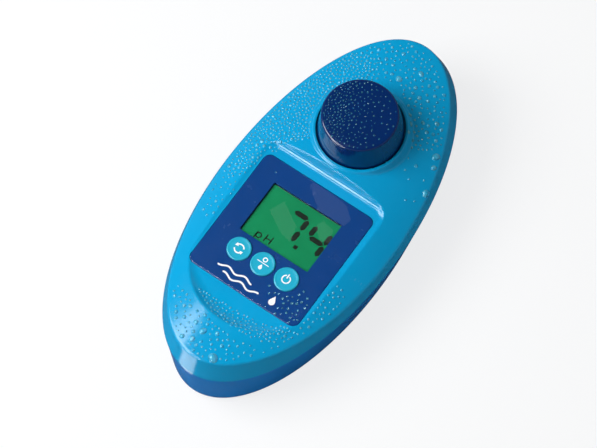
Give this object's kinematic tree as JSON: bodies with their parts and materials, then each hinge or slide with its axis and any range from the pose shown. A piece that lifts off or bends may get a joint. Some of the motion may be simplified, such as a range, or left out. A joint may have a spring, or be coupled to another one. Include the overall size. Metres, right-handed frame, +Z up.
{
  "type": "digital water tester",
  "caption": "Handheld pool water photometer: oval case, display panel with round keys, and a capped sample chamber.",
  "frame": {"origin": "centre of the flat base face", "axes": "+Y along the case towards the sample chamber end, +X to the right seen from above, +Z up"},
  "size_m": [0.0754, 0.155, 0.0477],
  "materials": {
    "light_blue_shell": "gloss",
    "dark_blue_shell": "gloss",
    "dark_blue_panel": "gloss",
    "clear_film": "clear",
    "display_green": "gloss",
    "white_plastic": "matt",
    "light_guide": "gloss",
    "grey_rubber": "matt",
    "circuit_board": "satin",
    "component_black": "matt",
    "steel": "satin",
    "key_cyan": "gloss",
    "clear_chamber": "clear",
    "black_rubber": "matt",
    "navy_cap": "gloss",
    "black_plastic": "satin",
    "seal_red": "satin",
    "led_lens": "clear",
    "filter_glass": "clear",
    "ribbon_grey": "satin",
    "battery_sleeve": "gloss",
    "spring_steel": "bright",
    "contact_nickel": "satin",
    "wire_red": "gloss"
  },
  "bodies": {
    "case": {"upper_housing": "light_blue_shell", "lower_housing": "dark_blue_shell", "housing_gasket": "black_rubber", "front_panel": "dark_blue_panel", "panel_overlay": "clear_film", "lcd_glass": "display_green", "lcd_frame": "white_plastic", "lcd_backlight": "light_guide", "zebra_strips": "grey_rubber", "main_board": "circuit_board", "board_components": "component_black", "board_screws": "steel", "key_switches": "component_black", "sample_chamber": "clear_chamber", "chamber_seal": "black_rubber", "led_holder": "black_plastic", "leds": "led_lens", "led_board": "circuit_board", "sensor_holder": "black_plastic", "light_filter": "filter_glass", "photodiode": "steel", "sensor_board": "circuit_board", "optics_ribbons": "ribbon_grey", "batteries": "battery_sleeve", "battery_springs": "spring_steel", "battery_contacts": "contact_nickel", "battery_wires": "wire_red", "housing_screws": "steel"},
    "cap_seal": {"cap_seal": "seal_red"},
    "cap": {"light_cap": "navy_cap", "cap_plug": "black_plastic"},
    "mode_key": {"mode_key": "key_cyan", "mode_plunger": "white_plastic"},
    "zero_test_key": {"zero_test_key": "key_cyan", "zero_test_plunger": "white_plastic"},
    "power_key": {"power_key": "key_cyan", "power_plunger": "white_plastic"},
    "battery_cover": {"battery_cover": "dark_blue_shell", "battery_cover_seal": "black_rubber", "battery_cover_screws": "steel"}
  },
  "joints": [
    {"name": "cap_pull", "type": "slide", "parent": "case", "child": "cap_seal", "axis": [0, 0, 1], "range_m": [0, 0.03]},
    {"name": "cap_turn", "type": "hinge", "parent": "cap_seal", "child": "cap", "pos_m": [0, 0.032, 0.03], "axis": [0, 0, 1], "continuous": true},
    {"name": "mode_key_press", "type": "slide", "parent": "case", "child": "mode_key", "axis": [0, 0, -1], "range_m": [0, 0.0004], "stiffness_N_per_m": 3000},
    {"name": "zero_test_key_press", "type": "slide", "parent": "case", "child": "zero_test_key", "axis": [0, 0, -1], "range_m": [0, 0.0004], "stiffness_N_per_m": 3000},
    {"name": "power_key_press", "type": "slide", "parent": "case", "child": "power_key", "axis": [0, 0, -1], "range_m": [0, 0.0004], "stiffness_N_per_m": 3000},
    {"name": "battery_cover_lift", "type": "slide", "parent": "case", "child": "battery_cover", "axis": [0, 0, -1], "range_m": [0, 0.025]}
  ]
}
